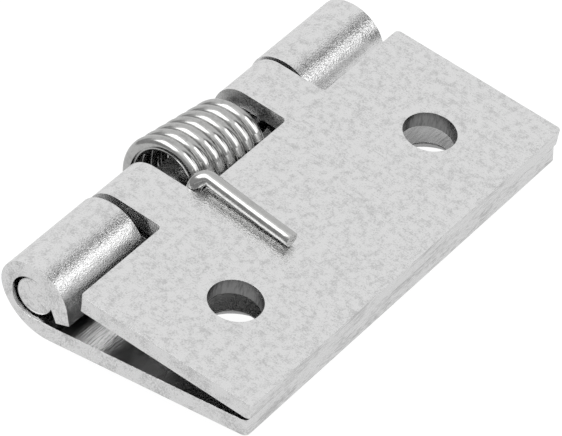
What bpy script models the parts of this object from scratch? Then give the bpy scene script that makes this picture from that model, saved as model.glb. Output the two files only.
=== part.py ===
"""Spring hinge: two rolled sheet leaves on one pin, pressed together by a torsion spring.

Lengths are metres and +Z is up. Y runs along the pin. X runs from the pin to the free edges.
The origin lies on the inner face of the lower leaf, midway between its two screw holes.
The hinge is modelled closed: the free edges of the leaves all but touch.
"""
import math

import bmesh
import bpy
import numpy as np
from mathutils import Matrix, Vector

MM = 0.001

# Hinge
LENGTH = 50.0 * MM          # along the pin
SHEET = 1.8 * MM            # thickness of both leaves
REACH = 24.2 * MM           # pin axis to the free edge of the lower leaf
OVERHANG = 0.2 * MM         # the upper leaf is this much longer
END_PLAY = 0.12 * MM        # the upper leaf sits this far along the pin, within its play
FACE_RISE = 4.0 * MM        # pin axis to the outer face of a leaf
TIP_GAP = 0.2 * MM          # between the free edges when closed

# Screw holes
HOLE_OUT = 15.5 * MM        # pin axis to the hole centres
HOLE_SIDE = 15.5 * MM       # either side of the middle
HOLE_DIA = 5.3 * MM
SINK_DIA = 8.6 * MM         # 90 degree countersink, lower leaf only

# Pin
PIN_DIA = 4.0 * MM
PIN_SLACK = 0.2 * MM        # radial, in the knuckles
PIN_RECESS = 0.4 * MM       # each end sits this far inside the knuckle
PIN_EDGE = 0.2 * MM

# Knuckles and cut-outs, measured from the middle along the pin
WINDOW_HALF = 7.0 * MM
INNER_KNUCKLE_END = 12.8 * MM
KNUCKLE_GAP = 0.65 * MM
NOTCH_OUT = 4.95 * MM       # pin axis to the floor of the notches
WINDOW_OUT = 4.75 * MM      # pin axis to the leaf side of the window
CORNER_IN = 0.5 * MM
CORNER_OUT = 0.5 * MM
ROLLOVER = 0.42 * MM        # the blanking tool rounds the outer side of every edge
HOLE_ROLLOVER = 0.25 * MM

# Outer side of the rolled knuckle: it leaves the flat at CURL_START and follows three arcs,
# each a radius and the degrees that it turns, and then a short straight tail
CURL_START = 1.92 * MM
CURL_LIFT_RADIUS = 5.47 * MM
CURL_LIFT_ANGLE = 73.9
CURL_BACK_RADIUS = 3.12 * MM
CURL_BACK_ANGLE = 90.2
CURL_TOP_RADIUS = 4.2 * MM
CURL_TOP_ANGLE = 99.0
CURL_TAIL = 1.45 * MM
TAIL_INSIDE_OUT = 2.77 * MM     # inner corner of the tail, from the pin axis
TAIL_INSIDE_RISE = -1.54 * MM
BORE_RISE = 0.2 * MM        # the bore is this much taller than it is wide

# Spring
WIRE_DIA = 1.5 * MM
TURNS = 7
TURN_GAP = 0.03 * MM
COIL_MEAN_RADIUS = 3.85 * MM
COIL_BACK = -0.3 * MM       # the loose coil hangs on the pin, off its axis
COIL_DROP = -0.25 * MM
COIL_LEAN = 7.0             # degrees; the near end rides high, the far end low
COIL_TURN = -3.2            # degrees; the near end sits further from the leaves
RUN_OUT = 3.8 * MM          # the part of the leg that rises through the window
RUN_SIDE = 6.1 * MM
BEND_RADIUS = 1.15 * MM
LEG_REACH = 15.0 * MM
LEG_CLEAR = 0.15 * MM       # wire to leaf at the tip of the leg
LEG_SPRING_UP = 0.2 * MM    # extra height next to the bend
LEG_BEND_SIDE = 5.45 * MM
LEG_TIP_SIDE = 6.27 * MM

PIN_RADIUS = PIN_DIA / 2
BORE_RADIUS = PIN_RADIUS + PIN_SLACK
INSIDE_RISE = FACE_RISE - SHEET
PIN_AT = Vector((-HOLE_OUT, 0.0, INSIDE_RISE))
OUTER_KNUCKLE_START = INNER_KNUCKLE_END + KNUCKLE_GAP
WIRE_RADIUS = WIRE_DIA / 2
PITCH = WIRE_DIA + TURN_GAP
CUT = 6.0 * MM              # how far cutters run past the sheet


def closing_angle():
    """Angle between the leaves at which the free edges are TIP_GAP apart."""
    low, high = 0.0, math.radians(40.0)
    for _ in range(60):
        mid = (low + high) / 2
        gap = INSIDE_RISE + INSIDE_RISE * math.cos(mid) - REACH * math.sin(mid)
        if gap > TIP_GAP:
            low = mid
        else:
            high = mid
    return low


CLOSED = closing_angle()


def clear_scene():
    for thing in list(bpy.data.objects):
        bpy.data.objects.remove(thing, do_unlink=True)


def new_collection(name, hidden=False):
    group = bpy.data.collections.new(name)
    bpy.context.scene.collection.children.link(group)
    group.hide_render = hidden
    return group


def material(name, colour, roughness):
    mat = bpy.data.materials.new(name)
    mat.use_nodes = True
    shader = mat.node_tree.nodes["Principled BSDF"]
    shader.inputs["Base Color"].default_value = (*colour, 1.0)
    shader.inputs["Metallic"].default_value = 1.0
    shader.inputs["Roughness"].default_value = roughness
    return mat


def add_object(name, mesh, group, cutter=False):
    thing = bpy.data.objects.new(name, mesh)
    group.objects.link(thing)
    if cutter:
        thing.hide_render = True
        thing.display_type = "WIRE"
    return thing


def evaluated_mesh(thing):
    """The object's mesh with its modifiers or curve settings made real."""
    graph = bpy.context.evaluated_depsgraph_get()
    graph.update()
    return bpy.data.meshes.new_from_object(thing.evaluated_get(graph))


def curve_to_object(curve, name, group, turn):
    """Turn a filled curve into a closed mesh object, and drop the curve."""
    holder = add_object(name, curve, group)
    mesh = evaluated_mesh(holder)
    bpy.data.objects.remove(holder, do_unlink=True)
    mesh.transform(turn)
    work = bmesh.new()
    work.from_mesh(mesh)
    bmesh.ops.remove_doubles(work, verts=work.verts, dist=1e-7)
    bmesh.ops.recalc_face_normals(work, faces=work.faces)
    work.to_mesh(mesh)
    work.free()
    return add_object(name, mesh, group, cutter=True)


def slab(name, points, half_depth, group, turn=Matrix.Identity(4)):
    """A closed outline drawn in XY and thickened both ways along Z."""
    curve = bpy.data.curves.new(name, "CURVE")
    curve.dimensions = "2D"
    curve.fill_mode = "BOTH"
    curve.extrude = half_depth
    line = curve.splines.new("POLY")
    line.points.add(len(points) - 1)
    for spot, (x, y) in zip(line.points, points):
        spot.co = (x, y, 0.0, 1.0)
    line.use_cyclic_u = True
    return curve_to_object(curve, name, group, turn)


def combine(target, cutter, operation):
    step = target.modifiers.new(operation.lower(), "BOOLEAN")
    step.solver = "EXACT"
    step.operation = operation
    step.object = cutter
    mesh = evaluated_mesh(target)
    target.modifiers.clear()
    target.data = mesh


def follow_arcs(start, heading, arcs, step_deg=7.5):
    """Points along tangent arcs that turn clockwise, each given as (radius, degrees)."""
    points = [Vector(start)]
    for radius, degrees in arcs:
        count = max(2, round(degrees / step_deg))
        part = math.radians(degrees) / count
        chord = 2 * radius * math.sin(part / 2)
        for _ in range(count):
            way = heading - part / 2
            points.append(points[-1] + chord * Vector((math.cos(way), math.sin(way))))
            heading -= part
    return points, heading


def rounded(corners, steps=4):
    """Polygon points with each corner (x, y, radius) rounded."""
    points = []
    count = len(corners)
    for i, (x, y, radius) in enumerate(corners):
        here = Vector((x, y))
        if radius == 0.0:
            points.append(here)
            continue
        before = (Vector(corners[i - 1][:2]) - here).normalized()
        after = (Vector(corners[(i + 1) % count][:2]) - here).normalized()
        centre = here + (before + after) * radius
        for k in range(steps + 1):
            swing = math.radians(90.0 * k / steps)
            points.append(centre - after * radius * math.cos(swing) - before * radius * math.sin(swing))
    return points


def outer_line():
    """Outer side of the sheet in section, from the flat round the knuckle to its tip."""
    arcs = [(CURL_LIFT_RADIUS, CURL_LIFT_ANGLE), (CURL_BACK_RADIUS, CURL_BACK_ANGLE),
            (CURL_TOP_RADIUS, CURL_TOP_ANGLE)]
    points, heading = follow_arcs((CURL_START, -FACE_RISE), math.pi, arcs)
    points.append(points[-1] + CURL_TAIL * Vector((math.cos(heading), math.sin(heading))))
    return points


def sheet_section():
    """Section of a leaf across the pin, with the pin axis at the origin and the outer face down."""
    far = REACH + CUT
    outside = [Vector((far, -FACE_RISE))] + outer_line()
    under, _ = follow_arcs((0.0, -INSIDE_RISE), math.pi, [(BORE_RADIUS, 90.0)])
    above, _ = follow_arcs((-BORE_RADIUS, BORE_RISE), math.pi / 2, [(BORE_RADIUS, 180.0)])
    inside = under + above + [Vector((BORE_RADIUS, 0.0)), Vector((TAIL_INSIDE_OUT, TAIL_INSIDE_RISE))]
    return outside + inside[::-1] + [Vector((far, -INSIDE_RISE))]


def on_outside(spot, line):
    """True if a point lies on the outer side of the section."""
    here = Vector((spot.x, spot.z))
    if here.x > CURL_START:
        if abs(here.y + FACE_RISE) < 1e-7:
            return True
    for a, b in zip(line[:-1], line[1:]):
        along = b - a
        part = min(1.0, max(0.0, (here - a).dot(along) / along.length_squared))
        if (here - (a + part * along)).length < 2e-6:
            return True
    return False


def round_outer_edges(thing, plain_holes):
    """Round every cut edge on the outer side, as blanking does. Inner edges stay sharp."""
    mesh = thing.data
    work = bmesh.new()
    work.from_mesh(mesh)
    bmesh.ops.dissolve_limit(work, angle_limit=math.radians(0.5), verts=work.verts, edges=work.edges)
    weight = work.edges.layers.float.new("bevel_weight_edge")
    line = outer_line()
    outside = {vert: on_outside(vert.co, line) for vert in work.verts}
    for edge in work.edges:
        if not (outside[edge.verts[0]] and outside[edge.verts[1]]):
            continue
        if edge.calc_face_angle(0.0) < math.radians(45.0):
            continue
        middle = (edge.verts[0].co + edge.verts[1].co) / 2
        aside = math.hypot(middle.x - HOLE_OUT, abs(middle.y) - HOLE_SIDE)
        if aside > SINK_DIA:
            edge[weight] = 1.0
        elif plain_holes and aside < HOLE_DIA:
            edge[weight] = HOLE_ROLLOVER / ROLLOVER
    work.to_mesh(mesh)
    work.free()
    step = thing.modifiers.new("rollover", "BEVEL")
    step.limit_method = "WEIGHT"
    step.width = ROLLOVER
    step.segments = 3
    thing.data = evaluated_mesh(thing)
    thing.modifiers.clear()


def drill(thing, countersunk, cutters):
    """Cut both screw holes, and their countersinks on the outer side if asked for."""
    sink_depth = (SINK_DIA - HOLE_DIA) / 2
    for side in (-HOLE_SIDE, HOLE_SIDE):
        bpy.ops.mesh.primitive_cylinder_add(
            vertices=48, radius=HOLE_DIA / 2, depth=2 * CUT, location=(HOLE_OUT, side, -FACE_RISE))
        cutter = take_cutter("hole_cutter", cutters)
        combine(thing, cutter, "DIFFERENCE")
        if countersunk:
            bpy.ops.mesh.primitive_cone_add(
                vertices=48, radius1=SINK_DIA / 2 + sink_depth, radius2=HOLE_DIA / 2,
                depth=2 * sink_depth, location=(HOLE_OUT, side, -FACE_RISE))
            cutter = take_cutter("sink_cutter", cutters)
            combine(thing, cutter, "DIFFERENCE")


def take_cutter(name, cutters):
    """Move the newest primitive to the cutter collection."""
    thing = bpy.context.object
    thing.name = name
    for group in list(thing.users_collection):
        group.objects.unlink(thing)
    cutters.objects.link(thing)
    thing.data.transform(thing.matrix_basis)
    thing.matrix_basis = Matrix.Identity(4)
    thing.hide_render = True
    thing.display_type = "WIRE"
    bpy.context.view_layer.update()
    return thing


def make_leaf(name, plan, countersunk, parts, cutters):
    """One leaf with its outer face down: rolled section, cut to its plan, drilled, edges rounded."""
    upright = Matrix.Rotation(math.radians(90.0), 4, "X")
    leaf = slab(name, sheet_section(), LENGTH / 2 + CUT, cutters, upright)
    blank = slab(name + "_plan", rounded(plan), 3 * FACE_RISE, cutters)
    combine(leaf, blank, "INTERSECT")
    drill(leaf, countersunk, cutters)
    round_outer_edges(leaf, not countersunk)
    cutters.objects.unlink(leaf)
    parts.objects.link(leaf)
    leaf.hide_render = False
    leaf.display_type = "TEXTURED"
    return leaf


def lower_plan():
    end = LENGTH / 2
    return [
        (-CUT, -end, 0.0), (REACH, -end, CORNER_OUT), (REACH, end, CORNER_OUT), (-CUT, end, 0.0),
        (-CUT, OUTER_KNUCKLE_START, 0.0), (NOTCH_OUT, OUTER_KNUCKLE_START, CORNER_IN),
        (NOTCH_OUT, -OUTER_KNUCKLE_START, CORNER_IN), (-CUT, -OUTER_KNUCKLE_START, 0.0),
    ]


def upper_plan():
    end = LENGTH / 2
    reach = REACH + OVERHANG
    return [
        (-CUT, -INNER_KNUCKLE_END, 0.0), (NOTCH_OUT, -INNER_KNUCKLE_END, CORNER_IN),
        (NOTCH_OUT, -end, CORNER_OUT), (reach, -end, CORNER_OUT),
        (reach, end, CORNER_OUT), (NOTCH_OUT, end, CORNER_OUT),
        (NOTCH_OUT, INNER_KNUCKLE_END, CORNER_IN), (-CUT, INNER_KNUCKLE_END, 0.0),
        (-CUT, WINDOW_HALF, 0.0), (WINDOW_OUT, WINDOW_HALF, CORNER_IN),
        (WINDOW_OUT, -WINDOW_HALF, CORNER_IN), (-CUT, -WINDOW_HALF, 0.0),
    ]


def from_upper_leaf(out, side, rise):
    """Point given in the upper leaf's own frame, in the frame midway between the leaves."""
    half = CLOSED / 2
    return Vector((out * math.cos(half) + rise * math.sin(half), side,
                   rise * math.cos(half) - out * math.sin(half)))


def leg_points():
    """One leg in its leaf's frame, from its tip round the bend to the top of the run: out, side, rise."""
    low = FACE_RISE + WIRE_RADIUS + LEG_CLEAR
    high = low + LEG_SPRING_UP
    points = []
    for k in range(7):
        part = k / 6
        out = LEG_REACH + (RUN_OUT + BEND_RADIUS - LEG_REACH) * part
        side = LEG_TIP_SIDE + (LEG_BEND_SIDE - LEG_TIP_SIDE) * part
        points.append((out, side, low + (high - low) * part ** 2))
    for k in range(1, 9):
        part = k / 8
        swing = math.radians(90.0 * part)
        side = LEG_BEND_SIDE + (RUN_SIDE - LEG_BEND_SIDE) * part * part * (3 - 2 * part)
        points.append((RUN_OUT + BEND_RADIUS * (1 - math.sin(swing)), side,
                       high - BEND_RADIUS * (1 - math.cos(swing))))
    return points


def coil_points():
    """The coil, midway frame: it starts on the leaf side at the near end and turns clockwise."""
    lean = Matrix.Rotation(math.radians(-COIL_LEAN), 3, "X")
    turn = Matrix.Rotation(math.radians(COIL_TURN), 3, "Z")
    place = Vector((COIL_BACK, 0.0, COIL_DROP))
    count = 24 * TURNS
    points = []
    for k in range(count + 1):
        angle = 2 * math.pi * TURNS * k / count
        spot = Vector((COIL_MEAN_RADIUS * math.cos(angle), PITCH * (angle / (2 * math.pi) - TURNS / 2),
                       -COIL_MEAN_RADIUS * math.sin(angle)))
        points.append(place + turn @ lean @ spot)
    return points


def smooth_run(start, start_way, end, end_way, count=5):
    """Points between two ends that leave and arrive in the given directions."""
    length = (end - start).length
    points = []
    for k in range(1, count):
        t = k / count
        spot = (2 * t ** 3 - 3 * t ** 2 + 1) * start + (3 * t ** 2 - 2 * t ** 3) * end
        spot += (t ** 3 - 2 * t ** 2 + t) * length * start_way.normalized()
        spot += (t ** 3 - t ** 2) * length * end_way.normalized()
        points.append(spot)
    return points


def spring_path():
    """Centre line of the wire, midway frame: leg on the upper leaf, coil, leg on the lower leaf."""
    near = [from_upper_leaf(out, -side, rise) for out, side, rise in leg_points()]
    far = [Vector((spot.x, -spot.y, -spot.z)) for spot in reversed(near)]
    coil = coil_points()
    run_in = smooth_run(near[-1], near[-1] - near[-2], coil[0], coil[1] - coil[0])
    run_out = smooth_run(coil[-1], coil[-1] - coil[-2], far[0], far[1] - far[0])
    return near + run_in + coil + run_out + far


def make_spring(parts):
    curve = bpy.data.curves.new("torsion_spring", "CURVE")
    curve.dimensions = "3D"
    curve.bevel_depth = WIRE_RADIUS
    curve.bevel_resolution = 2
    curve.use_fill_caps = True
    path = spring_path()
    line = curve.splines.new("POLY")
    line.points.add(len(path) - 1)
    for spot, here in zip(line.points, path):
        spot.co = (*here, 1.0)
    turn = Matrix.Rotation(CLOSED / 2, 4, "Y")
    spring = curve_to_object(curve, "torsion_spring", parts, turn)
    spring.hide_render = False
    spring.display_type = "TEXTURED"
    return spring


def make_pin(parts):
    half = LENGTH / 2 - PIN_RECESS
    bpy.ops.mesh.primitive_cylinder_add(
        vertices=48, radius=PIN_RADIUS, depth=2 * half, rotation=(math.radians(90.0), 0.0, 0.0))
    pin = bpy.context.object
    pin.name = "hinge_pin"
    for group in list(pin.users_collection):
        group.objects.unlink(pin)
    parts.objects.link(pin)
    pin.data.transform(pin.matrix_basis)
    pin.matrix_basis = Matrix.Identity(4)
    step = pin.modifiers.new("edge", "BEVEL")
    step.limit_method = "ANGLE"
    step.angle_limit = math.radians(60.0)
    step.width = PIN_EDGE
    step.segments = 2
    pin.data = evaluated_mesh(pin)
    pin.modifiers.clear()
    return pin


def finish(thing, mat):
    """Name the data, give the material, set the shading and move to the pin's place."""
    mesh = thing.data
    mesh.name = thing.name
    mesh.materials.clear()
    mesh.materials.append(mat)
    mesh.polygons.foreach_set("material_index", np.zeros(len(mesh.polygons), dtype=np.int32))
    mesh.shade_smooth()
    mesh.set_sharp_from_angle(angle=math.radians(32.0))
    thing.location = PIN_AT


def main():
    clear_scene()
    parts = new_collection("spring_hinge")
    cutters = new_collection("cutters", hidden=True)

    lower = make_leaf("lower_leaf", lower_plan(), True, parts, cutters)
    upper = make_leaf("upper_leaf", upper_plan(), False, parts, cutters)
    turned = Matrix.Rotation(CLOSED, 4, "Y") @ Matrix.Scale(-1.0, 4, (0.0, 0.0, 1.0))
    upper.data.transform(Matrix.Translation((0.0, END_PLAY, 0.0)) @ turned)
    upper.data.flip_normals()
    pin = make_pin(parts)
    spring = make_spring(parts)

    finish(lower, material("lower_leaf_steel", (0.62, 0.62, 0.63), 0.32))
    finish(upper, material("upper_leaf_steel", (0.64, 0.64, 0.65), 0.32))
    finish(pin, material("hinge_pin_steel", (0.55, 0.55, 0.55), 0.35))
    finish(spring, material("torsion_spring_steel", (0.6, 0.6, 0.59), 0.22))
    bpy.context.view_layer.update()


main()
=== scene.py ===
# %% [markdown]
# # A sprung hinge, piece by piece
# The hinge has two leaves pressed from zinc-plated sheet steel. Each leaf is rolled into
# knuckles round one pin, and a torsion spring in the middle presses the leaves together.
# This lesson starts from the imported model, keeps its joint, and dresses every piece.

# %% Load the frame
import math

import bmesh
import bpy
from mathutils import Matrix, Vector


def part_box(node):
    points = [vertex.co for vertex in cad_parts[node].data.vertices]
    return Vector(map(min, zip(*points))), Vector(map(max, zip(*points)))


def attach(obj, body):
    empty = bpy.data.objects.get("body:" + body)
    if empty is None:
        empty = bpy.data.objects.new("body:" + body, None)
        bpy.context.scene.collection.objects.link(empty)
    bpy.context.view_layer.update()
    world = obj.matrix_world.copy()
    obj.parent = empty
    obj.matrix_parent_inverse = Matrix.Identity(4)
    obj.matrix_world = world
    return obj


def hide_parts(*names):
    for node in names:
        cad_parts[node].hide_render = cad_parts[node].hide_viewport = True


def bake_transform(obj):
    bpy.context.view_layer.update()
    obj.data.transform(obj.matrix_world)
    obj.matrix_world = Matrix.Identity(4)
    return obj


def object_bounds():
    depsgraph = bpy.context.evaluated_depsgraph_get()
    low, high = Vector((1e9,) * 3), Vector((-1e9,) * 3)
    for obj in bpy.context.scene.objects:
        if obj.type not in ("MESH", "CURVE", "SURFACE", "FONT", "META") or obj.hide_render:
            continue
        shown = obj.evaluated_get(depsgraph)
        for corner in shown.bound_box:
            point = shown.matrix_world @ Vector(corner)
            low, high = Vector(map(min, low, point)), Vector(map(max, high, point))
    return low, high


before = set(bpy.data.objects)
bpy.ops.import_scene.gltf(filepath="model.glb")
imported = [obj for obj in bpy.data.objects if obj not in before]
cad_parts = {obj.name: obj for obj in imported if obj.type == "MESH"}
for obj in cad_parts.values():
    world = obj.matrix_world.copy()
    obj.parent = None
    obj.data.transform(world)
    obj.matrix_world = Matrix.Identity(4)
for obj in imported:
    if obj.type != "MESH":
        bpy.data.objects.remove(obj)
cad_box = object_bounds()

# %% [markdown]
# ## Sizes
# A sheet-metal worker thinks in millimetres, and Blender in metres, so each size is written
# in millimetres and turned once. Most sizes belong to a leaf seen in section: "out" runs from
# the pin to the free edge, "side" runs along the pin, and "rise" is the height over the pin.

# %% Sizes of the leaves
MM = 0.001
LENGTH = 50.0 * MM
SHEET = 1.8 * MM
REACH = 24.2 * MM
OVERHANG = 0.19 * MM    # the upper leaf reaches this much further than the lower one
END_PLAY = 0.12 * MM
FACE_RISE = 4.0 * MM
TIP_GAP = 0.2 * MM
HOLE_OUT = 15.5 * MM
HOLE_SIDE = 15.5 * MM
HOLE_RADIUS = 2.65 * MM
SINK_RADIUS = 4.3 * MM
CUT = 6.0 * MM          # how far slabs and cutters run past what they cut
INSIDE_RISE = FACE_RISE - SHEET
PIN_AT = Vector((-HOLE_OUT, 0.0, INSIDE_RISE))

# %% Sizes of the knuckles
BORE_RADIUS = 2.2 * MM
BORE_RISE = 0.2 * MM
WINDOW_HALF = 7.0 * MM
INNER_KNUCKLE_END = 12.8 * MM
OUTER_KNUCKLE_START = 13.45 * MM
NOTCH_OUT = 4.95 * MM
WINDOW_OUT = 4.75 * MM
CORNER = 0.5 * MM
CURL_START = 1.92 * MM
LOWER_ARCS = ((5.47 * MM, 73.9), (3.12 * MM, 90.2), (4.2 * MM, 99.0))
UPPER_CURL_START = -0.247 * MM
UPPER_ARCS = ((3.032 * MM, 65.04), (4.486 * MM, 40.03), (3.772 * MM, 158.03))
CURL_TAIL = 1.45 * MM
TAIL_INSIDE = (2.77 * MM, -1.54 * MM)
FREE_ROLLOVER = 0.42 * MM
ROLLOVER = 0.26 * MM
END_ROLLOVER = 0.16 * MM
HOLE_ROLLOVER = 0.25 * MM
BURR = 0.05 * MM
ON_LINE = 0.002 * MM    # a point this close to the outer line counts as on it
WELD = 0.0001 * MM
SHARP_DEG = 40.0
HOLE_SIDES = 96
print("sheet", SHEET / MM, "mm, knuckle bore", 2 * BORE_RADIUS / MM, "mm")

# %% [markdown]
# The leaves stand a little open, because their free edges meet first. The angle follows from
# the sizes: it is found by halving a range until the gap at the tips is right.

# %% Closing angle
def closing_angle():
    """The angle at which the gap between the free edges is TIP_GAP, in radians."""
    low, high = 0.0, math.radians(40.0)
    for _ in range(60):
        mid = (low + high) / 2
        if INSIDE_RISE * (1 + math.cos(mid)) - REACH * math.sin(mid) > TIP_GAP:
            low = mid
        else:
            high = mid
    return low


CLOSED = closing_angle()
print("closed angle", round(math.degrees(CLOSED), 2), "degrees")

# %% [markdown]
# ## A few helpers
# Colours are easiest to read as sRGB hex, the way a paint program shows them, but shaders
# want linear light. Node trees are many short lines, so one function adds a node, fills its
# settings and links its inputs. The rest turn modifiers into plain meshes.

# %% Helpers for node trees
def linear(code):
    """An sRGB hex colour as linear RGBA."""
    values = [int(code[i:i + 2], 16) / 255 for i in (1, 3, 5)]
    return tuple(v / 12.92 if v <= 0.04045 else ((v + 0.055) / 1.055) ** 2.4 for v in values) + (1.0,)


def add(tree, kind, settings=None, **inputs):
    """Add a node. An input is a value, or a socket to link from; _ stands for a space."""
    node = tree.nodes.new(kind)
    for key, value in (settings or {}).items():
        setattr(node, key, value)
    for key, value in inputs.items():
        by_number = key[0] == "i" and key[1:].isdigit()
        socket = node.inputs[int(key[1:])] if by_number else node.inputs[key.replace("_", " ")]
        if isinstance(value, bpy.types.NodeSocket):
            tree.links.new(value, socket)
        else:
            socket.default_value = value
    return node


# %% Helpers for meshes
def link(name, data):
    """A new object in the scene, at the origin."""
    thing = bpy.data.objects.new(name, data)
    bpy.context.scene.collection.objects.link(thing)
    return thing


def real_mesh(thing):
    """The object's mesh with its modifiers or curve settings made real."""
    graph = bpy.context.evaluated_depsgraph_get()
    graph.update()
    return bpy.data.meshes.new_from_object(thing.evaluated_get(graph))


def settle(thing):
    """Replace an object's data with its evaluated mesh, and drop the modifiers."""
    mesh = real_mesh(thing)
    thing.modifiers.clear()
    thing.data = mesh


def combine(thing, cutter, operation):
    """An exact boolean with a cutter that isn't needed afterwards."""
    step = thing.modifiers.new(operation.lower(), "BOOLEAN")
    step.solver = "EXACT"
    step.operation = operation
    step.object = cutter
    settle(thing)
    bpy.data.objects.remove(cutter, do_unlink=True)


# %% [markdown]
# ## The rolled section
# Seen from the end, a leaf is a flat strip whose edge a press tool rolls round the pin. The
# roll isn't a true circle: the sheet leaves the flat in a wide arc, tightens at the back and
# opens again over the top, and its last millimetre and a half stays straight. So the section
# is drawn as three tangent arcs outside, and a round bore inside. The upper leaf's roll starts
# later and is fuller over the top than the lower one's, and both end in the same place.

# %% Section of a leaf
def follow_arcs(start, heading, arcs, step_deg=3.0):
    """Points along tangent arcs that turn clockwise, each given as (radius, degrees)."""
    points = [Vector(start)]
    for radius, degrees in arcs:
        count = max(2, round(degrees / step_deg))
        part = math.radians(degrees) / count
        chord = 2 * radius * math.sin(part / 2)
        for _ in range(count):
            way = heading - part / 2
            points.append(points[-1] + chord * Vector((math.cos(way), math.sin(way))))
            heading -= part
    return points, heading


def outer_line(start, arcs):
    """Outer side of the sheet, from the flat round the knuckle to its tip."""
    points, heading = follow_arcs((start, -FACE_RISE), math.pi, arcs)
    points.append(points[-1] + CURL_TAIL * Vector((math.cos(heading), math.sin(heading))))
    return points


def sheet_section(line):
    """Section across the pin: the pin axis is the origin and the outer face is down."""
    far = REACH + CUT
    outside = [Vector((far, -FACE_RISE))] + line
    under, _ = follow_arcs((0.0, -INSIDE_RISE), math.pi, [(BORE_RADIUS, 90.0)])
    above, _ = follow_arcs((-BORE_RADIUS, BORE_RISE), math.pi / 2, [(BORE_RADIUS, 180.0)])
    inside = under + above + [Vector((BORE_RADIUS, 0.0)), Vector(TAIL_INSIDE)]
    return outside + inside[::-1] + [Vector((far, -INSIDE_RISE))]


lower_line = outer_line(CURL_START, LOWER_ARCS)
upper_line = outer_line(UPPER_CURL_START, UPPER_ARCS)
print("points in the section", len(sheet_section(lower_line)))
print("tips apart", round((lower_line[-1] - upper_line[-1]).length / MM, 3), "mm")


# %% [markdown]
# ## The blank
# Before rolling, each leaf is a flat blank. The lower one keeps a knuckle at either end, and
# the upper one has two knuckles beside a window that leaves room for the spring. The plan is
# a list of corners, and a small arc rounds those that the punch rounds.

# %% Plans of the two blanks
def rounded(corners, steps=6):
    """Polygon points with each corner (x, y, radius) rounded; radius 0 stays sharp."""
    points = []
    for i, (x, y, radius) in enumerate(corners):
        here = Vector((x, y))
        if radius == 0.0:
            points.append(here)
            continue
        before = (Vector(corners[i - 1][:2]) - here).normalized()
        after = (Vector(corners[(i + 1) % len(corners)][:2]) - here).normalized()
        centre = here + (before + after) * radius
        for k in range(steps + 1):
            swing = math.radians(90.0 * k / steps)
            points.append(centre - after * radius * math.cos(swing) - before * radius * math.sin(swing))
    return points


END = LENGTH / 2
LOWER_PLAN = [
    (-CUT, -END, 0.0), (REACH, -END, CORNER), (REACH, END, CORNER), (-CUT, END, 0.0),
    (-CUT, OUTER_KNUCKLE_START, 0.0), (NOTCH_OUT, OUTER_KNUCKLE_START, CORNER),
    (NOTCH_OUT, -OUTER_KNUCKLE_START, CORNER), (-CUT, -OUTER_KNUCKLE_START, 0.0),
]
UPPER_PLAN = [
    (-CUT, -INNER_KNUCKLE_END, 0.0), (NOTCH_OUT, -INNER_KNUCKLE_END, CORNER),
    (NOTCH_OUT, -END, CORNER), (REACH + OVERHANG, -END, CORNER),
    (REACH + OVERHANG, END, CORNER), (NOTCH_OUT, END, CORNER),
    (NOTCH_OUT, INNER_KNUCKLE_END, CORNER), (-CUT, INNER_KNUCKLE_END, 0.0),
    (-CUT, WINDOW_HALF, 0.0), (WINDOW_OUT, WINDOW_HALF, CORNER),
    (WINDOW_OUT, -WINDOW_HALF, CORNER), (-CUT, -WINDOW_HALF, 0.0),
]

# %% [markdown]
# ## Rolling and blanking a leaf
# A filled 2D curve with an extrude gives the rolled strip, and another gives the plan. One
# exact boolean cuts the strip to the plan, and others drill the screw holes. A punch pulls
# the sheet down as it enters, so every cut edge is rounded on the outer side only: those
# edges get a bevel weight. All other sharp edges lose a twentieth of a millimetre, since
# plating never leaves a knife edge, and that thin facet is what catches the light.

# %% Slabs and holes
def slab(name, points, half_depth, turn=Matrix.Identity(4)):
    """A closed outline drawn in XY and thickened both ways along Z."""
    curve = bpy.data.curves.new(name, "CURVE")
    curve.dimensions = "2D"
    curve.fill_mode = "BOTH"
    curve.extrude = half_depth
    line = curve.splines.new("POLY")
    line.points.add(len(points) - 1)
    for spot, (x, y) in zip(line.points, points):
        spot.co = (x, y, 0.0, 1.0)
    line.use_cyclic_u = True
    holder = link(name, curve)
    mesh = real_mesh(holder)
    bpy.data.objects.remove(holder, do_unlink=True)
    mesh.transform(turn)
    work = bmesh.new()
    work.from_mesh(mesh)
    bmesh.ops.remove_doubles(work, verts=work.verts, dist=WELD)
    bmesh.ops.recalc_face_normals(work, faces=work.faces)
    work.to_mesh(mesh)
    work.free()
    return link(name, mesh)


def round_cutter(radius_low, radius_high, depth, side):
    """A cylinder or cone that stands on a screw hole, half below the outer face."""
    work = bmesh.new()
    place = Matrix.Translation((HOLE_OUT, side, -FACE_RISE))
    bmesh.ops.create_cone(work, cap_ends=True, segments=HOLE_SIDES, radius1=radius_low, radius2=radius_high,
                          depth=depth, matrix=place)
    mesh = bpy.data.meshes.new("hole_cutter")
    work.to_mesh(mesh)
    work.free()
    return link("hole_cutter", mesh)


def drill(leaf, countersunk):
    """Cut both screw holes, and their countersinks where the leaf has them."""
    sink_depth = SINK_RADIUS - HOLE_RADIUS
    for side in (-HOLE_SIDE, HOLE_SIDE):
        combine(leaf, round_cutter(HOLE_RADIUS, HOLE_RADIUS, 2 * CUT, side), "DIFFERENCE")
        if countersunk:
            wide = SINK_RADIUS + sink_depth
            combine(leaf, round_cutter(wide, HOLE_RADIUS, 2 * sink_depth, side), "DIFFERENCE")


# %% Rounded edges
def on_outside(spot, line):
    """True if a point lies on the outer side of the section."""
    here = Vector((spot.x, spot.z))
    if here.x > line[0].x and abs(here.y + FACE_RISE) < WELD:
        return True
    for a, b in zip(line[:-1], line[1:]):
        along = b - a
        part = min(1.0, max(0.0, (here - a).dot(along) / along.length_squared))
        if (here - (a + part * along)).length < ON_LINE:
            return True
    return False


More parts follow.
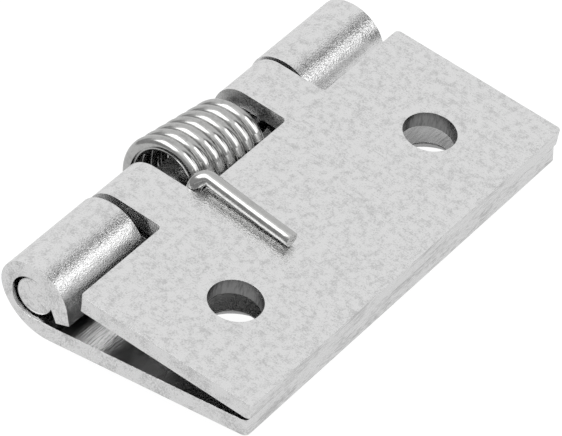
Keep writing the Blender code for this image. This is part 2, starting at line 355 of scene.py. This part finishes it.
def round_edges(leaf, line, plain_holes):
    """Rollover on the outer side's cut edges, then a fine break on all other sharp ones."""
    work = bmesh.new()
    work.from_mesh(leaf.data)
    bmesh.ops.dissolve_limit(work, angle_limit=math.radians(0.3), verts=work.verts, edges=work.edges)
    weight = work.edges.layers.float.new("bevel_weight_edge")
    outside = {vert: on_outside(vert.co, line) for vert in work.verts}
    for edge in work.edges:
        if edge.calc_face_angle(0.0) < math.radians(SHARP_DEG):
            continue
        middle = (edge.verts[0].co + edge.verts[1].co) / 2
        aside = math.hypot(middle.x - HOLE_OUT, abs(middle.y) - HOLE_SIDE)
        if outside[edge.verts[0]] and outside[edge.verts[1]] and aside > 2 * SINK_RADIUS:
            ends = abs(middle.y) > END - 0.01 * MM or middle.x < CURL_START
            free = middle.x > REACH - CORNER
            edge[weight] = (FREE_ROLLOVER if free else END_ROLLOVER if ends else ROLLOVER) / FREE_ROLLOVER
        elif outside[edge.verts[0]] and plain_holes and aside < 2 * HOLE_RADIUS:
            edge[weight] = HOLE_ROLLOVER / FREE_ROLLOVER
    work.to_mesh(leaf.data)
    work.free()
    step = leaf.modifiers.new("rollover", "BEVEL")
    step.limit_method = "WEIGHT"
    step.width = FREE_ROLLOVER
    step.segments = 5
    settle(leaf)
    step = leaf.modifiers.new("break", "BEVEL")
    step.limit_method = "ANGLE"
    step.angle_limit = math.radians(SHARP_DEG)
    step.width = BURR
    step.segments = 2
    settle(leaf)


# %% [markdown]
# The faces are then sorted into what a plater would see: the smooth outer skin of the sheet,
# the inner face, the cut faces that the punch left, and the hole walls. Each kind gets its own
# material slot with its own tint and roughness. The hole walls and the inner face are tinted
# darker as painted shade, for the shade inside the holes and between the leaves.

# %% Sort the faces
SKIN, CUT_FACE, HOLE_WALL, INNER_FACE = 0, 1, 2, 3


def sort_faces(leaf):
    """Give every face its slot, from its place and the way that it looks."""
    tail_rise = TAIL_INSIDE[1] + 0.1 * MM
    for face in leaf.data.polygons:
        normal, middle = face.normal, face.center
        aside = math.hypot(middle.x - HOLE_OUT, abs(middle.y) - HOLE_SIDE)
        slot = SKIN
        if aside < SINK_RADIUS + 0.02 * MM and abs(normal.z) < 0.8:
            slot = HOLE_WALL
        elif abs(normal.y) > 0.8 or (abs(normal.x) > 0.8 and middle.x > NOTCH_OUT - 0.1 * MM):
            slot = CUT_FACE
        elif (TAIL_INSIDE[0] - 0.2 * MM < middle.x < NOTCH_OUT
              and abs(middle.z - tail_rise) < 0.35 * MM and normal.z < -0.6):
            slot = CUT_FACE
        elif normal.z > 0.95 and abs(middle.z + INSIDE_RISE) < 0.02 * MM:
            slot = INNER_FACE
        face.material_index = slot


# %% Make both leaves
UPRIGHT = Matrix.Rotation(math.radians(90.0), 4, "X")
TO_PIN = Matrix.Translation(PIN_AT)
UPPER_TURN = Matrix.Translation((0.0, END_PLAY, 0.0)) @ Matrix.Rotation(CLOSED, 4, "Y")
MIRROR = Matrix.Scale(-1.0, 4, (0.0, 0.0, 1.0))


def smooth_by_area(thing, sharp_deg=32.0):
    """Smooth shading in which the big flat faces keep their own normals."""
    thing.data.shade_smooth()
    thing.data.set_sharp_from_angle(angle=math.radians(sharp_deg))
    step = thing.modifiers.new("flat_faces", "WEIGHTED_NORMAL")
    step.keep_sharp = True
    step.weight = 100
    settle(thing)


def make_leaf(name, line, plan, countersunk, turn):
    """One leaf with its outer face down, then moved to its place."""
    leaf = slab(name, sheet_section(line), LENGTH / 2 + CUT, UPRIGHT)
    combine(leaf, slab(name + "_plan", rounded(plan), 3 * FACE_RISE), "INTERSECT")
    drill(leaf, countersunk)
    round_edges(leaf, line, not countersunk)
    sort_faces(leaf)
    for vert in leaf.data.vertices:    # the bevel pushes a corner point out by a hundredth
        vert.co.y = min(END, max(-END, vert.co.y))
    leaf.data.transform(TO_PIN @ turn)
    if turn.determinant() < 0:
        leaf.data.flip_normals()
    smooth_by_area(leaf)
    print(name, len(leaf.data.polygons), "faces")
    return leaf


lower_leaf = make_leaf("lower_leaf_sheet", lower_line, LOWER_PLAN, True, Matrix.Identity(4))
upper_leaf = make_leaf("upper_leaf_sheet", upper_line, UPPER_PLAN, False, UPPER_TURN @ MIRROR)
for leaf, node, body in ((lower_leaf, "lower_leaf", "fixed_leaf"), (upper_leaf, "upper_leaf", "moving_leaf")):
    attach(leaf, body)
    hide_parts(node)
    box = [Vector(c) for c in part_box(node)]
    print(node, "CAD box", [[round(v / MM, 2) for v in c] for c in box])

# %% [markdown]
# ## The torsion spring
# Seven close turns of 1.5 mm wire hang loosely on the pin. Each end rises from its leaf
# through the window, bends over and lies along the leaf's outer face. The wire's centre line
# follows rules: an almost straight leg, a quarter bend, a helix, and a smooth run between
# them. So the line is worked out point by point, and the other leg is the first one turned
# half round.

# %% Sizes of the spring
WIRE_RADIUS = 0.744 * MM    # this and the coil are a hundredth small, to fit in the CAD box
TURNS = 7
PITCH = 1.53 * MM
COIL_RADIUS = 3.835 * MM
COIL_PLACE = Vector((-0.3 * MM, 0.0, -0.25 * MM))
COIL_LEAN = math.radians(7.0)
COIL_TURN = math.radians(-3.2)
RUN_OUT, RUN_SIDE = 3.8 * MM, 6.1 * MM
BEND_RADIUS = 1.15 * MM
LEG_REACH = 15.0 * MM
LEG_CLEAR, LEG_SPRING_UP = 0.15 * MM, 0.2 * MM
LEG_BEND_SIDE, LEG_TIP_SIDE = 5.45 * MM, 6.27 * MM
WIRE_SIDES = 28
WIRE_EDGE = 0.12 * MM


# %% Centre line of the wire
def leg_points():
    """A leg in its leaf's frame, from its tip round the bend: out, side, rise."""
    low = FACE_RISE + WIRE_RADIUS + LEG_CLEAR
    high = low + LEG_SPRING_UP
    points = []
    for k in range(13):
        part = k / 12
        points.append((LEG_REACH + (RUN_OUT + BEND_RADIUS - LEG_REACH) * part,
                       LEG_TIP_SIDE + (LEG_BEND_SIDE - LEG_TIP_SIDE) * part,
                       low + (high - low) * part ** 2))
    for k in range(1, 17):
        part = k / 16
        swing = math.radians(90.0 * part)
        points.append((RUN_OUT + BEND_RADIUS * (1 - math.sin(swing)),
                       LEG_BEND_SIDE + (RUN_SIDE - LEG_BEND_SIDE) * part * part * (3 - 2 * part),
                       high - BEND_RADIUS * (1 - math.cos(swing))))
    return points


def coil_points(per_turn=60):
    """The helix, which starts on the leaf side at the near end."""
    tilt = Matrix.Rotation(COIL_TURN, 3, "Z") @ Matrix.Rotation(-COIL_LEAN, 3, "X")
    points = []
    for k in range(per_turn * TURNS + 1):
        turns = k / per_turn
        angle = 2 * math.pi * turns
        spot = Vector((COIL_RADIUS * math.cos(angle), PITCH * (turns - TURNS / 2),
                       -COIL_RADIUS * math.sin(angle)))
        points.append(COIL_PLACE + tilt @ spot)
    return points


def smooth_run(start, start_way, end, end_way, count=10):
    """Points between two ends that leave and arrive in the given directions."""
    length = (end - start).length
    points = []
    for k in range(1, count):
        t = k / count
        spot = (2 * t ** 3 - 3 * t ** 2 + 1) * start + (3 * t ** 2 - 2 * t ** 3) * end
        spot += (t ** 3 - 2 * t ** 2 + t) * length * start_way.normalized()
        spot += (t ** 3 - t ** 2) * length * end_way.normalized()
        points.append(spot)
    return points


def spring_path():
    """Centre line at rest, in the model's frame."""
    half = Matrix.Rotation(CLOSED / 2, 4, "Y")
    to_middle = Matrix.Rotation(CLOSED / 2, 3, "Y")
    near = [to_middle @ Vector((out, -side, rise)) for out, side, rise in leg_points()]
    far = [Vector((spot.x, -spot.y, -spot.z)) for spot in reversed(near)]
    coil = coil_points()
    run_in = smooth_run(near[-1], near[-1] - near[-2], coil[0], coil[1] - coil[0])
    run_out = smooth_run(coil[-1], coil[-1] - coil[-2], far[0], far[1] - far[0])
    return [TO_PIN @ half @ spot for spot in near + run_in + coil + run_out + far]


path = spring_path()
wire_length = sum((b - a).length for a, b in zip(path[:-1], path[1:]))
print("wire length", round(wire_length / MM, 1), "mm in", len(path), "points")

# %% [markdown]
# Sweeping a circle along a line is a job for Geometry Nodes: the tree takes the line, the
# wire's diameter and the number of sides, and fills the two cropped ends. The modifier's
# inputs are set by their identifiers before the object is evaluated, and the result becomes
# a plain mesh, so nothing is left to compute later.

# %% Node group that sweeps a wire
def wire_group():
    """A tree that turns a line into a closed round wire."""
    tree = bpy.data.node_groups.new("swept_wire", "GeometryNodeTree")
    face = tree.interface
    face.new_socket("Geometry", in_out="INPUT", socket_type="NodeSocketGeometry")
    face.new_socket("Wire Diameter", in_out="INPUT", socket_type="NodeSocketFloat")
    face.new_socket("Sides", in_out="INPUT", socket_type="NodeSocketInt")
    face.new_socket("Finish", in_out="INPUT", socket_type="NodeSocketMaterial")
    face.new_socket("Geometry", in_out="OUTPUT", socket_type="NodeSocketGeometry")
    given = add(tree, "NodeGroupInput").outputs
    radius = add(tree, "ShaderNodeMath", {"operation": "MULTIPLY"}, i0=given["Wire Diameter"], i1=0.5)
    ring = add(tree, "GeometryNodeCurvePrimitiveCircle", Resolution=given["Sides"], Radius=radius.outputs[0])
    swept = add(tree, "GeometryNodeCurveToMesh", Curve=given["Geometry"],
                Profile_Curve=ring.outputs["Curve"], Fill_Caps=True)
    real = add(tree, "GeometryNodeRealizeInstances", Geometry=swept.outputs[0])
    done = add(tree, "GeometryNodeSetMaterial", Geometry=real.outputs[0], Material=given["Finish"])
    add(tree, "NodeGroupOutput", Geometry=done.outputs[0])
    return tree


def sweep_wire(name, points, settings):
    """Run the tree on a poly line and return the wire as a plain mesh object."""
    curve = bpy.data.curves.new(name, "CURVE")
    curve.dimensions = "3D"
    line = curve.splines.new("POLY")
    line.points.add(len(points) - 1)
    for spot, here in zip(line.points, points):
        spot.co = (*here, 1.0)
    holder = link(name + "_line", curve)
    group = wire_group()
    step = holder.modifiers.new("sweep", "NODES")
    step.node_group = group
    for socket in group.interface.items_tree:
        if socket.in_out == "INPUT" and socket.name in settings:
            step[socket.identifier] = settings[socket.name]
    mesh = real_mesh(holder)
    bpy.data.objects.remove(holder, do_unlink=True)
    return link(name, mesh)

# %% [markdown]
# ## Zinc-plated sheet steel
# The leaves are blanked from cold-rolled steel and bright zinc-plated. Zinc on rolled sheet
# is a soft mirror with an orange-peel grain of a few tenths of a millimetre, which shows
# wherever the room that it mirrors changes from light to dark, as along the knuckles. On the
# flats the same grain only mottles the grey. Tumbling in the plating barrel adds hairline
# scratches, drawn here coarser than real ones so that they show at all.

# %% Hairline scratches
def hairlines(tree, where, turn_deg, length_mm, width_mm):
    """One thin ellipse in each cell of a stretched Voronoi pattern."""
    cell_share = 200    # a line fills about a fifth of its cell, and a metre holds a thousand mm
    stretched = add(tree, "ShaderNodeMapping", Vector=where, Rotation=(0.0, 0.0, math.radians(turn_deg)),
                    Scale=(cell_share / length_mm, cell_share / width_mm, 1.0))
    cells = add(tree, "ShaderNodeTexVoronoi", {"voronoi_dimensions": "2D"},
                Vector=stretched.outputs[0], Scale=1.0)
    return add(tree, "ShaderNodeMapRange", Value=cells.outputs["Distance"], From_Min=0.04, From_Max=0.12,
               To_Min=1.0, To_Max=0.0).outputs["Result"]


# %% Zinc finish
PER_METRE = 1000        # a pattern scale is this over its grain in millimetres
WAVE_MM = 2.2
SCRATCHES = ((12, 1.8, 0.08), (-41, 1.3, 0.07), (77, 1.5, 0.08))    # degrees, length and width in mm
TINT_FROM, TINT_TO = 0.7, 1.2


def zinc_finish(name, tints, rough, peel_mm, peel_depth, wave_depth=0.0, stretch=(1.0, 1.0, 1.0), turn=0.0,
                scratch=0.0, cloud_mm=4.0):
    """Zinc plate on Object coordinates: cloudy tint, orange peel, long waves and hairlines."""
    mat = bpy.data.materials.new(name)
    mat.use_nodes = True
    tree = mat.node_tree
    shader = tree.nodes["Principled BSDF"]
    shader.inputs["Metallic"].default_value = 1.0
    raw = add(tree, "ShaderNodeTexCoord").outputs["Object"]
    where = add(tree, "ShaderNodeMapping", {"vector_type": "TEXTURE"}, Vector=raw,
                Location=tuple(PIN_AT), Rotation=(0.0, turn, 0.0), Scale=stretch).outputs[0]
    peel = add(tree, "ShaderNodeTexNoise", Vector=where, Scale=PER_METRE / peel_mm,
               Detail=2.0, Roughness=0.6)
    cloud = add(tree, "ShaderNodeTexNoise", Vector=where, Scale=PER_METRE / cloud_mm,
                Detail=4.0, Roughness=0.6)
    fine = add(tree, "ShaderNodeMath", {"operation": "MULTIPLY_ADD"},
               i0=peel.outputs[0], i1=0.9, i2=cloud.outputs[0])
    shade = fine.outputs[0]
    lift = peel.outputs[0]
    if scratch:
        lines = [hairlines(tree, raw, *made) for made in SCRATCHES]
        both = add(tree, "ShaderNodeMath", {"operation": "MAXIMUM"}, i0=lines[0], i1=lines[1])
        every = add(tree, "ShaderNodeMath", {"operation": "MAXIMUM"},
                    i0=both.outputs[0], i1=lines[2]).outputs[0]
        shade = add(tree, "ShaderNodeMath", {"operation": "MULTIPLY_ADD"},
                    i0=every, i1=-scratch, i2=shade).outputs[0]
        lift = add(tree, "ShaderNodeMath", {"operation": "MULTIPLY_ADD"},
                   i0=every, i1=-scratch / 3, i2=lift).outputs[0]
    colour = add(tree, "ShaderNodeValToRGB", Fac=shade)
    for element, place, code in zip(colour.color_ramp.elements, (TINT_FROM, TINT_TO), tints):
        element.position = place
        element.color = linear(code)
    tree.links.new(colour.outputs["Color"], shader.inputs["Base Color"])
    patchy = add(tree, "ShaderNodeMapRange", Value=cloud.outputs[0], From_Min=0.35, From_Max=0.65,
                 To_Min=rough * 0.85, To_Max=rough * 1.2)
    tree.links.new(patchy.outputs["Result"], shader.inputs["Roughness"])
    bump = add(tree, "ShaderNodeBump", Height=lift, Strength=1.0, Distance=peel_depth * MM)
    if wave_depth:
        wave = add(tree, "ShaderNodeTexNoise", Vector=where, Scale=PER_METRE / WAVE_MM, Detail=1.0)
        bump = add(tree, "ShaderNodeBump", Height=wave.outputs[0], Strength=1.0, Distance=wave_depth * MM,
                   Normal=bump.outputs["Normal"])
    tree.links.new(bump.outputs["Normal"], shader.inputs["Normal"])
    return mat


# %% Finishes of the leaves
LEAF_TINTS = ("#c7c7c7", "#e4e4e4")
for leaf, turn, which in ((lower_leaf, 0.0, "lower"), (upper_leaf, CLOSED, "upper")):
    slots = [face.material_index for face in leaf.data.polygons]
    leaf.data.materials.clear()
    leaf.data.materials.append(zinc_finish(
        which + "_zinc_plated_sheet", LEAF_TINTS, 0.09, 0.15, 0.037, 0.012,
        stretch=(1.0, 1.2, 1.0), scratch=0.14, cloud_mm=0.7))
    leaf.data.materials.append(zinc_finish(
        which + "_blanked_edge", ("#bababa", "#e2e2e2"), 0.25, 0.16, 0.02,
        stretch=(1.0, 5.0, 1.0), turn=turn, cloud_mm=1.5))
    # the hole walls get the grey of a punched wall, darkened with painted shade for the shade inside the
    # holes
    leaf.data.materials.append(zinc_finish(
        which + "_punched_hole_wall_painted_shade", ("#676767", "#8e8e8e"), 0.36, 0.22, 0.03,
        stretch=(1.0, 1.0, 6.0), turn=turn, cloud_mm=1.0))
    # the inner face is tinted a little darker than the skin: painted shade for the shade between the two
    # leaves
    leaf.data.materials.append(zinc_finish(
        which + "_rolled_inner_face", ("#c2c2c2", "#dadada"), 0.16, 0.25, 0.03,
        stretch=(1.0, 8.0, 1.0), turn=turn, cloud_mm=2.0))
    leaf.data.polygons.foreach_set("material_index", slots)    # clearing the slots reset these
    print(which, [(mat.name, slots.count(k)) for k, mat in enumerate(leaf.data.materials)])

# %% [markdown]
# ## Spring wire and pin finishes
# Spring wire is drawn through a die, which leaves it bright, with faint lines along its
# length. The pin is cropped from the same kind of bright rod and plated like the leaves.

# %% Spring and pin finishes
wire_steel = zinc_finish("drawn_spring_wire", ("#a9a9a8", "#b9b9b8"), 0.13, 0.5, 0.004, cloud_mm=2.0)
rod_steel = zinc_finish("cropped_zinc_plated_rod", ("#bcbcbc", "#e2e2e2"), 0.24, 0.2, 0.03, cloud_mm=1.0)
print("finishes", wire_steel.name, rod_steel.name)

# %% Make the spring
spring = sweep_wire("torsion_spring_wire", path,
                    {"Wire Diameter": 2 * WIRE_RADIUS, "Sides": WIRE_SIDES, "Finish": wire_steel})
work = bmesh.new()
work.from_mesh(spring.data)
bmesh.ops.remove_doubles(work, verts=work.verts, dist=WELD)
work.to_mesh(spring.data)
work.free()
step = spring.modifiers.new("cropped_ends", "BEVEL")
step.limit_method = "ANGLE"
step.angle_limit = math.radians(60.0)
step.width = WIRE_EDGE
step.segments = 2
settle(spring)
smooth_by_area(spring)
print("spring", len(spring.data.polygons), "faces")
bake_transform(spring)
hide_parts("torsion_spring")

# %% [markdown]
# ## The pin
# The pin is a 4 mm rod cropped to length. Cropping shears the first part of the end cleanly
# and tears the rest, which leaves a low curved step across the end. The rod is turned from
# rings, and the rings of the end faces sink a little on one side of that curve.

# %% Make the pin
PIN_RADIUS = 2.0 * MM
PIN_HALF = 24.6 * MM
PIN_EDGE = 0.2 * MM
CROP_STEP = 0.12 * MM
CROP_CENTRE = (1.9 * MM, 2.1 * MM)
CROP_RADIUS, CROP_WIDTH = 2.75 * MM, 0.08 * MM
CROP_RIM, CROP_FADE = 1.75 * MM, 0.3 * MM
CAP_RINGS = 26


def crop_sink(out, rise):
    """How far the torn part of the end lies below the sheared part."""
    to_centre = math.hypot(out - CROP_CENTRE[0], rise - CROP_CENTRE[1])
    t = min(1.0, max(0.0, (to_centre - CROP_RADIUS) / CROP_WIDTH))
    fade = min(1.0, max(0.0, (CROP_RIM - math.hypot(out, rise)) / CROP_FADE))
    return CROP_STEP * t * t * (3 - 2 * t) * fade


def make_pin(around=96):
    """The rod as rings of points, from one cropped end to the other."""
    cap = [(PIN_RADIUS - PIN_EDGE) * k / CAP_RINGS for k in range(1, CAP_RINGS + 1)]
    edge = [(PIN_RADIUS - PIN_EDGE * (1 - math.sin(a)), PIN_HALF - PIN_EDGE * (1 - math.cos(a)))
            for a in (math.radians(d) for d in (15, 30, 45, 60, 75, 90))]
    near = [(r, PIN_HALF) for r in cap] + edge
    rings = [(r, -y) for r, y in near] + [(r, y) for r, y in reversed(near)]
    work = bmesh.new()
    loops = []
    for radius, side in rings:
        loop = []
        for k in range(around):
            angle = 2 * math.pi * k / around
            out, rise = radius * math.cos(angle), radius * math.sin(angle)
            sink = crop_sink(out, rise) if abs(side) >= PIN_HALF else 0.0
            loop.append(work.verts.new((out, side - math.copysign(sink, side), rise)))
        loops.append(loop)
    for low, high in zip(loops[:-1], loops[1:]):
        for k in range(around):
            n = (k + 1) % around
            work.faces.new((low[k], low[n], high[n], high[k]))
    for loop, side in ((loops[0], -PIN_HALF), (loops[-1], PIN_HALF)):
        centre = work.verts.new((0.0, side, 0.0))
        for k in range(around):
            work.faces.new((loop[k], loop[(k + 1) % around], centre))
    bmesh.ops.recalc_face_normals(work, faces=work.faces)
    mesh = bpy.data.meshes.new("hinge_pin_rod")
    work.to_mesh(mesh)
    work.free()
    mesh.transform(TO_PIN)
    return link("hinge_pin_rod", mesh)


pin = make_pin()
pin.data.materials.append(rod_steel)
smooth_by_area(pin, 60.0)
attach(pin, "fixed_leaf")
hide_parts("hinge_pin")
print("pin", len(pin.data.polygons), "faces")

# %% [markdown]
# ## Floor, light and camera
# The photograph has a pure white ground, so the floor glows white to the camera and a little
# less in reflections, and still takes some shade. Bright metal shows its room more than its
# own colour, so the room is the light: a pale tent that is darker on the near side and behind
# on the right. Two large soft boxes stand left and right and draw the lines on the coil, and
# a smaller one behind on the right draws the bright band along the knuckles.

# %% Floor
SEEN_GLOW, MIRRORED_GLOW, GLOW_SHARE = 1.1, 0.82, 0.85
low_z = cad_box[0][2]
FLOOR_GAP = 0.0002
bpy.ops.mesh.primitive_plane_add(size=1.4, location=(0.0, 0.0, low_z - FLOOR_GAP))
floor = bpy.context.object
floor.name = "floor"
floor_mat = bpy.data.materials.new("white_table")
floor_mat.use_nodes = True
tree = floor_mat.node_tree
tree.nodes["Principled BSDF"].inputs["Base Color"].default_value = linear("#f4f4f4")
tree.nodes["Principled BSDF"].inputs["Roughness"].default_value = 0.9
rays = add(tree, "ShaderNodeLightPath")
seen = add(tree, "ShaderNodeMath", {"operation": "MAXIMUM"},
           i0=rays.outputs["Is Camera Ray"], i1=rays.outputs["Is Glossy Ray"])
share = add(tree, "ShaderNodeMath", {"operation": "MULTIPLY"}, i0=seen.outputs[0], i1=GLOW_SHARE)
level = add(tree, "ShaderNodeMapRange", Value=rays.outputs["Is Camera Ray"],
            To_Min=MIRRORED_GLOW, To_Max=SEEN_GLOW)
glow = add(tree, "ShaderNodeEmission", Color=(1.0, 1.0, 1.0, 1.0), Strength=level.outputs["Result"])
mix = add(tree, "ShaderNodeMixShader", Fac=share.outputs[0], i1=tree.nodes["Principled BSDF"].outputs[0],
          i2=glow.outputs[0])
tree.links.new(mix.outputs[0], tree.nodes["Material Output"].inputs["Surface"])
floor.data.materials.append(floor_mat)
print("floor at", round((low_z - FLOOR_GAP) / MM, 2), "mm")

# %% World
# "near" is the side of -Y, where the camera stands, and the dark corner is behind on the right
FAR_WALL, NEAR_WALL, CEILING, DARK_CORNER = 0.9, 0.42, 1.15, 0.2
world = bpy.data.worlds.new("white_room")
bpy.context.scene.world = world
world.use_nodes = True
tree = world.node_tree
tree.nodes.clear()
rays = add(tree, "ShaderNodeLightPath")
way = add(tree, "ShaderNodeSeparateXYZ", Vector=add(tree, "ShaderNodeTexCoord").outputs["Generated"])
near_side = add(tree, "ShaderNodeMapRange", {"interpolation_type": "SMOOTHSTEP"}, Value=way.outputs["Z"],
                From_Min=0.35, From_Max=0.85, To_Min=NEAR_WALL, To_Max=CEILING)
level = add(tree, "ShaderNodeMapRange", {"interpolation_type": "SMOOTHSTEP"}, Value=way.outputs["Y"],
            From_Min=-0.05, From_Max=0.25, To_Min=near_side.outputs["Result"], To_Max=FAR_WALL)
right = add(tree, "ShaderNodeMapRange", {"interpolation_type": "SMOOTHSTEP"}, Value=way.outputs["X"],
            From_Min=0.16, From_Max=0.26)
behind = add(tree, "ShaderNodeMapRange", Value=way.outputs["Y"], From_Min=0.1, From_Max=0.3)
corner = add(tree, "ShaderNodeMath", {"operation": "MULTIPLY"},
             i0=right.outputs["Result"], i1=behind.outputs["Result"])
room = add(tree, "ShaderNodeMix", {"data_type": "FLOAT"}, i0=corner.outputs[0],
           i2=level.outputs["Result"], i3=DARK_CORNER)
tent = add(tree, "ShaderNodeBackground", Color=(1.0, 1.0, 1.0, 1.0), Strength=room.outputs[0])
white = add(tree, "ShaderNodeBackground", Color=(1.0, 1.0, 1.0, 1.0), Strength=1.0)
mix = add(tree, "ShaderNodeMixShader", Fac=rays.outputs["Is Camera Ray"],
          i1=tent.outputs[0], i2=white.outputs[0])
out = add(tree, "ShaderNodeOutputWorld")
tree.links.new(mix.outputs[0], out.inputs["Surface"])
print("room", world.name, "levels", FAR_WALL, NEAR_WALL, CEILING, DARK_CORNER)


# %% Lamps
def lamp(name, place, aim, size, glow):
    """A soft box given by its brightness, so that its reflection shows at that level."""
    data = bpy.data.lights.new(name, "AREA")
    data.shape = "RECTANGLE"
    data.size, data.size_y = (v * MM for v in size)
    data.energy = glow * math.pi * data.size * data.size_y
    thing = link(name, data)
    thing.location = Vector(place) * MM
    thing.rotation_euler = (Vector(aim) - Vector(place)).to_track_quat("-Z", "Y").to_euler()
    return thing


boxes = [
    lamp("right_box", (215, 19, 276), (0, 0, 0), (234, 282), 1.85),
    lamp("strip_box", (172, 165, 140), (-12, -19, 5), (150, 105), 1.4),
    lamp("left_box", (-139, -165, 276), (0, 0, 0), (276, 214), 1.75),
]
print("lamps", [(box.name, round(box.data.energy, 2)) for box in boxes])

# %% Camera
FOCAL_PIXELS, PHOTO_WIDTH, SENSOR_MM = 4702.6, 562, 36.0
CAMERA_MM = (193.257, -278.959, 275.356)


def photo_camera():
    """A long lens, placed as in the photograph: 35.5 degrees round and 38.8 degrees up."""
    azimuth, elevation, roll = math.radians(35.483), math.radians(38.768), math.radians(0.640)
    back = Vector((math.sin(azimuth) * math.cos(elevation), -math.cos(azimuth) * math.cos(elevation),
                   math.sin(elevation)))
    right = (-back).cross(Vector((0, 0, 1))).normalized()
    up = right.cross(-back)
    side = math.cos(roll) * right + math.sin(roll) * up
    top = -math.sin(roll) * right + math.cos(roll) * up
    data = bpy.data.cameras.new("photo_camera")
    data.sensor_width = SENSOR_MM
    data.lens = FOCAL_PIXELS * SENSOR_MM / PHOTO_WIDTH
    data.clip_end = 10.0
    thing = link("photo_camera", data)
    turn = Matrix((side, top, back)).transposed().to_4x4()
    thing.matrix_world = Matrix.Translation(Vector(CAMERA_MM) * MM) @ turn
    return thing


bpy.context.scene.camera = photo_camera()
print("lens", round(bpy.context.scene.camera.data.lens, 1), "mm")
bpy.context.scene.view_settings.view_transform = "Standard"
